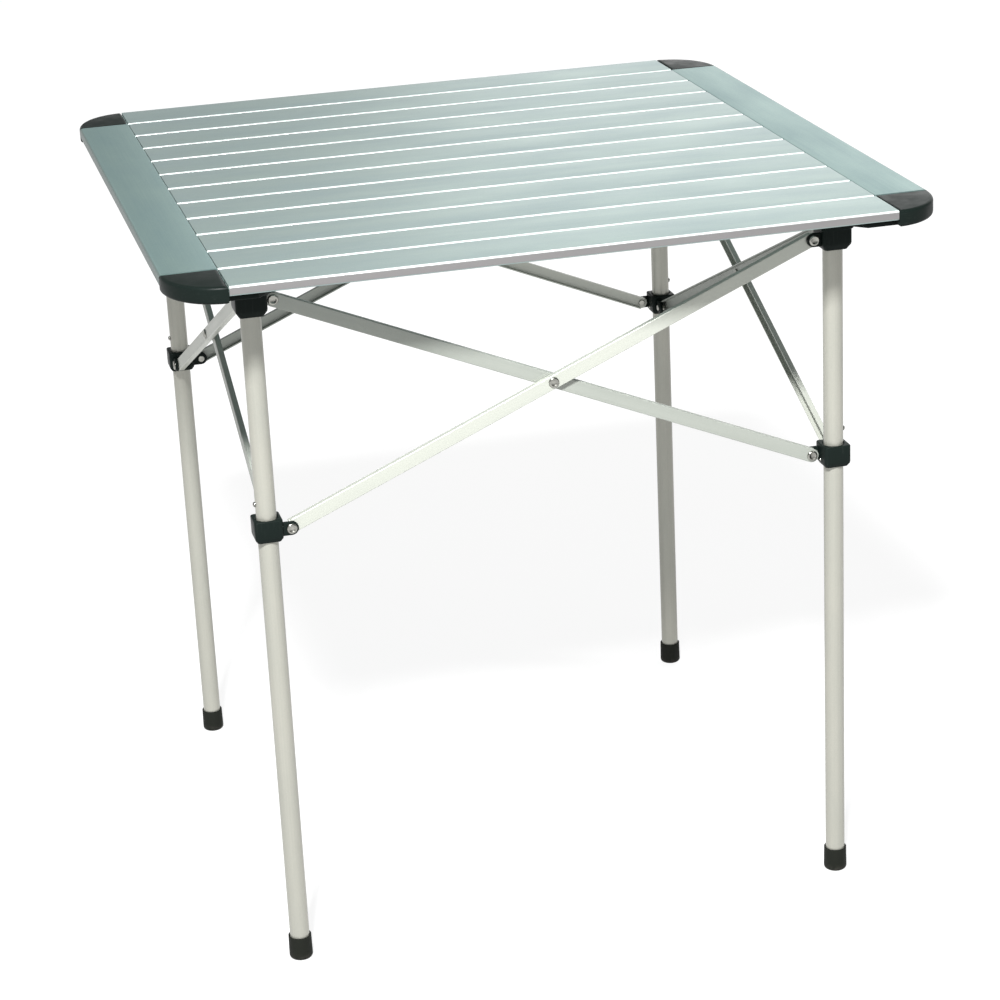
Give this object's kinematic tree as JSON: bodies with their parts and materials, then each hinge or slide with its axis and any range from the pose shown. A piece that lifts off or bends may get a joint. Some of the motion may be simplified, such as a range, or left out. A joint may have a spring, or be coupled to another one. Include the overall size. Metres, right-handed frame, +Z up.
{
  "type": "folding side table",
  "caption": "Folding camping side table with a slatted roll-up aluminium top on a scissor frame with round legs, sliding collars and foot caps.",
  "frame": {"origin": "middle of the table on the ground plane that the feet stand on", "axes": "+X along the slats to the right as seen from the front, +Y along the end rails towards the back, +Z up"},
  "size_m": [0.7, 0.72, 0.69],
  "materials": {
    "slat_aluminium": "satin anodised, pale grey-green",
    "rail_aluminium": "satin anodised, grey-teal",
    "leg_aluminium": "satin anodised, warm light grey",
    "bar_aluminium": "satin anodised, light grey",
    "rivet_steel": "bright plated",
    "black_plastic": "moulded, slightly glossy black",
    "foot_rubber": "matt black"
  },
  "bodies": {
    "front_left_leg": {"leg_front_left": "leg_aluminium", "foot_front_left": "foot_rubber", "top_bracket_front_left": "black_plastic", "collar_stop_front_left": "rivet_steel", "front_top_rivet_left": "rivet_steel", "left_top_rivet_right": "rivet_steel"},
    "front_right_leg": {"leg_front_right": "leg_aluminium", "foot_front_right": "foot_rubber", "top_bracket_front_right": "black_plastic", "collar_stop_front_right": "rivet_steel", "right_top_rivet_left": "rivet_steel", "front_top_rivet_right": "rivet_steel"},
    "back_right_leg": {"leg_back_right": "leg_aluminium", "foot_back_right": "foot_rubber", "top_bracket_back_right": "black_plastic", "collar_stop_back_right": "rivet_steel", "back_top_rivet_left": "rivet_steel", "right_top_rivet_right": "rivet_steel"},
    "back_left_leg": {"leg_back_left": "leg_aluminium", "foot_back_left": "foot_rubber", "top_bracket_back_left": "black_plastic", "collar_stop_back_left": "rivet_steel", "left_top_rivet_left": "rivet_steel", "back_top_rivet_right": "rivet_steel"},
    "front_outer_bar": {"front_outer_bar": "bar_aluminium", "front_cross_rivet": "rivet_steel"},
    "front_inner_bar": {"front_inner_bar": "bar_aluminium"},
    "right_outer_bar": {"right_outer_bar": "bar_aluminium", "right_cross_rivet": "rivet_steel"},
    "right_inner_bar": {"right_inner_bar": "bar_aluminium"},
    "back_outer_bar": {"back_outer_bar": "bar_aluminium", "back_cross_rivet": "rivet_steel"},
    "back_inner_bar": {"back_inner_bar": "bar_aluminium"},
    "left_outer_bar": {"left_outer_bar": "bar_aluminium", "left_cross_rivet": "rivet_steel"},
    "left_inner_bar": {"left_inner_bar": "bar_aluminium"},
    "front_left_collar": {"collar_front_left": "black_plastic"},
    "front_right_collar": {"collar_front_right": "black_plastic"},
    "back_right_collar": {"collar_back_right": "black_plastic"},
    "back_left_collar": {"collar_back_left": "black_plastic"},
    "table_top": {"slat_01": "slat_aluminium", "end_rail_left": "rail_aluminium", "end_rail_right": "rail_aluminium", "corner_cap_front_left": "black_plastic", "corner_cap_front_right": "black_plastic", "corner_cap_back_right": "black_plastic", "corner_cap_back_left": "black_plastic"},
    "slat_02": {"slat_02": "slat_aluminium"},
    "slat_03": {"slat_03": "slat_aluminium"},
    "slat_04": {"slat_04": "slat_aluminium"},
    "slat_05": {"slat_05": "slat_aluminium"},
    "slat_06": {"slat_06": "slat_aluminium"},
    "slat_07": {"slat_07": "slat_aluminium"},
    "slat_08": {"slat_08": "slat_aluminium"},
    "slat_09": {"slat_09": "slat_aluminium"},
    "slat_10": {"slat_10": "slat_aluminium"},
    "slat_11": {"slat_11": "slat_aluminium"},
    "slat_12": {"slat_12": "slat_aluminium"}
  },
  "joints": [
    {"name": "frame_fold", "type": "hinge", "parent": "front_left_leg", "child": "front_inner_bar", "pos_m": [-0.249, -0.27, 0.648], "axis": [0, 1, 0], "range_deg": [0, 63]},
    {"name": "front_outer_bar_cross", "type": "hinge", "parent": "front_inner_bar", "child": "front_outer_bar", "pos_m": [0, -0.27, 0.5425], "axis": [0, 1, 0], "range_deg": [-126, 0]},
    {"name": "front_right_leg_top", "type": "hinge", "parent": "front_outer_bar", "child": "front_right_leg", "pos_m": [0.249, -0.27, 0.648], "axis": [0, 1, 0], "range_deg": [0, 63]},
    {"name": "front_left_collar_pivot", "type": "hinge", "parent": "front_outer_bar", "child": "front_left_collar", "pos_m": [-0.249, -0.27, 0.437], "axis": [0, 1, 0], "range_deg": [0, 63]},
    {"name": "front_right_collar_pivot", "type": "hinge", "parent": "front_inner_bar", "child": "front_right_collar", "pos_m": [0.249, -0.27, 0.437], "axis": [0, 1, 0], "range_deg": [-63, 0]},
    {"name": "right_inner_bar_top", "type": "hinge", "parent": "front_right_leg", "child": "right_inner_bar", "pos_m": [0.27, -0.249, 0.648], "axis": [-1, 0, 0], "range_deg": [0, 63]},
    {"name": "right_outer_bar_cross", "type": "hinge", "parent": "right_inner_bar", "child": "right_outer_bar", "pos_m": [0.27, 0, 0.5425], "axis": [-1, 0, 0], "range_deg": [-126, 0]},
    {"name": "back_right_leg_top", "type": "hinge", "parent": "right_outer_bar", "child": "back_right_leg", "pos_m": [0.27, 0.249, 0.648], "axis": [-1, 0, 0], "range_deg": [0, 63]},
    {"name": "back_right_collar_pivot", "type": "hinge", "parent": "right_inner_bar", "child": "back_right_collar", "pos_m": [0.27, 0.249, 0.437], "axis": [-1, 0, 0], "range_deg": [-63, 0]},
    {"name": "left_outer_bar_top", "type": "hinge", "parent": "front_left_leg", "child": "left_outer_bar", "pos_m": [-0.27, -0.249, 0.648], "axis": [1, 0, 0], "range_deg": [-63, 0]},
    {"name": "left_inner_bar_cross", "type": "hinge", "parent": "left_outer_bar", "child": "left_inner_bar", "pos_m": [-0.27, 0, 0.5425], "axis": [1, 0, 0], "range_deg": [0, 126]},
    {"name": "back_left_leg_top", "type": "hinge", "parent": "left_inner_bar", "child": "back_left_leg", "pos_m": [-0.27, 0.249, 0.648], "axis": [1, 0, 0], "range_deg": [-63, 0]},
    {"name": "back_left_collar_pivot", "type": "hinge", "parent": "left_outer_bar", "child": "back_left_collar", "pos_m": [-0.27, 0.249, 0.437], "axis": [1, 0, 0], "range_deg": [0, 63]},
    {"name": "back_outer_bar_top", "type": "hinge", "parent": "back_left_leg", "child": "back_outer_bar", "pos_m": [-0.249, 0.27, 0.648], "axis": [0, -1, 0], "range_deg": [-63, 0]},
    {"name": "back_inner_bar_cross", "type": "hinge", "parent": "back_outer_bar", "child": "back_inner_bar", "pos_m": [0, 0.27, 0.5425], "axis": [0, -1, 0], "range_deg": [0, 126]},
    {"name": "top_lift", "type": "slide", "parent": "front_left_leg", "child": "table_top", "axis": [0, 0, 1], "range_m": [0, 0.25]},
    {"name": "slat_roll", "type": "hinge", "parent": "table_top", "child": "slat_02", "pos_m": [0, -0.30083, 0.69], "axis": [1, 0, 0], "range_deg": [0, 49.4]},
    {"name": "slat_03_link", "type": "hinge", "parent": "slat_02", "child": "slat_03", "pos_m": [0, -0.24067, 0.69], "axis": [1, 0, 0], "range_deg": [0, 49.89]},
    {"name": "slat_04_link", "type": "hinge", "parent": "slat_03", "child": "slat_04", "pos_m": [0, -0.1805, 0.69], "axis": [1, 0, 0], "range_deg": [0, 51.01]},
    {"name": "slat_05_link", "type": "hinge", "parent": "slat_04", "child": "slat_05", "pos_m": [0, -0.12033, 0.69], "axis": [1, 0, 0], "range_deg": [0, 52.81]},
    {"name": "slat_06_link", "type": "hinge", "parent": "slat_05", "child": "slat_06", "pos_m": [0, -0.06017, 0.69], "axis": [1, 0, 0], "range_deg": [0, 55.29]},
    {"name": "slat_07_link", "type": "hinge", "parent": "slat_06", "child": "slat_07", "pos_m": [0, 0, 0.69], "axis": [1, 0, 0], "range_deg": [0, 58.45]},
    {"name": "slat_08_link", "type": "hinge", "parent": "slat_07", "child": "slat_08", "pos_m": [0, 0.06017, 0.69], "axis": [1, 0, 0], "range_deg": [0, 62.29]},
    {"name": "slat_09_link", "type": "hinge", "parent": "slat_08", "child": "slat_09", "pos_m": [0, 0.12033, 0.69], "axis": [1, 0, 0], "range_deg": [0, 66.81]},
    {"name": "slat_10_link", "type": "hinge", "parent": "slat_09", "child": "slat_10", "pos_m": [0, 0.1805, 0.69], "axis": [1, 0, 0], "range_deg": [0, 72.01]},
    {"name": "slat_11_link", "type": "hinge", "parent": "slat_10", "child": "slat_11", "pos_m": [0, 0.24067, 0.69], "axis": [1, 0, 0], "range_deg": [0, 77.89]},
    {"name": "slat_12_link", "type": "hinge", "parent": "slat_11", "child": "slat_12", "pos_m": [0, 0.30083, 0.69], "axis": [1, 0, 0], "range_deg": [0, 84.45]}
  ],
  "couplings": [
    {"joint": "front_outer_bar_cross", "follows": "frame_fold", "ratio": -2},
    {"joint": "front_right_leg_top", "follows": "frame_fold", "ratio": 1},
    {"joint": "front_left_collar_pivot", "follows": "frame_fold", "ratio": 1},
    {"joint": "front_right_collar_pivot", "follows": "frame_fold", "ratio": -1},
    {"joint": "right_inner_bar_top", "follows": "frame_fold", "ratio": 1},
    {"joint": "right_outer_bar_cross", "follows": "frame_fold", "ratio": -2},
    {"joint": "back_right_leg_top", "follows": "frame_fold", "ratio": 1},
    {"joint": "back_right_collar_pivot", "follows": "frame_fold", "ratio": -1},
    {"joint": "left_outer_bar_top", "follows": "frame_fold", "ratio": -1},
    {"joint": "left_inner_bar_cross", "follows": "frame_fold", "ratio": 2},
    {"joint": "back_left_leg_top", "follows": "frame_fold", "ratio": -1},
    {"joint": "back_left_collar_pivot", "follows": "frame_fold", "ratio": 1},
    {"joint": "back_outer_bar_top", "follows": "frame_fold", "ratio": -1},
    {"joint": "back_inner_bar_cross", "follows": "frame_fold", "ratio": 2},
    {"joint": "slat_03_link", "follows": "slat_roll", "ratio": 1.0089},
    {"joint": "slat_04_link", "follows": "slat_roll", "ratio": 1.0316},
    {"joint": "slat_05_link", "follows": "slat_roll", "ratio": 1.068},
    {"joint": "slat_06_link", "follows": "slat_roll", "ratio": 1.1182},
    {"joint": "slat_07_link", "follows": "slat_roll", "ratio": 1.1822},
    {"joint": "slat_08_link", "follows": "slat_roll", "ratio": 1.2599},
    {"joint": "slat_09_link", "follows": "slat_roll", "ratio": 1.3514},
    {"joint": "slat_10_link", "follows": "slat_roll", "ratio": 1.4567},
    {"joint": "slat_11_link", "follows": "slat_roll", "ratio": 1.5757},
    {"joint": "slat_12_link", "follows": "slat_roll", "ratio": 1.7085}
  ]
}
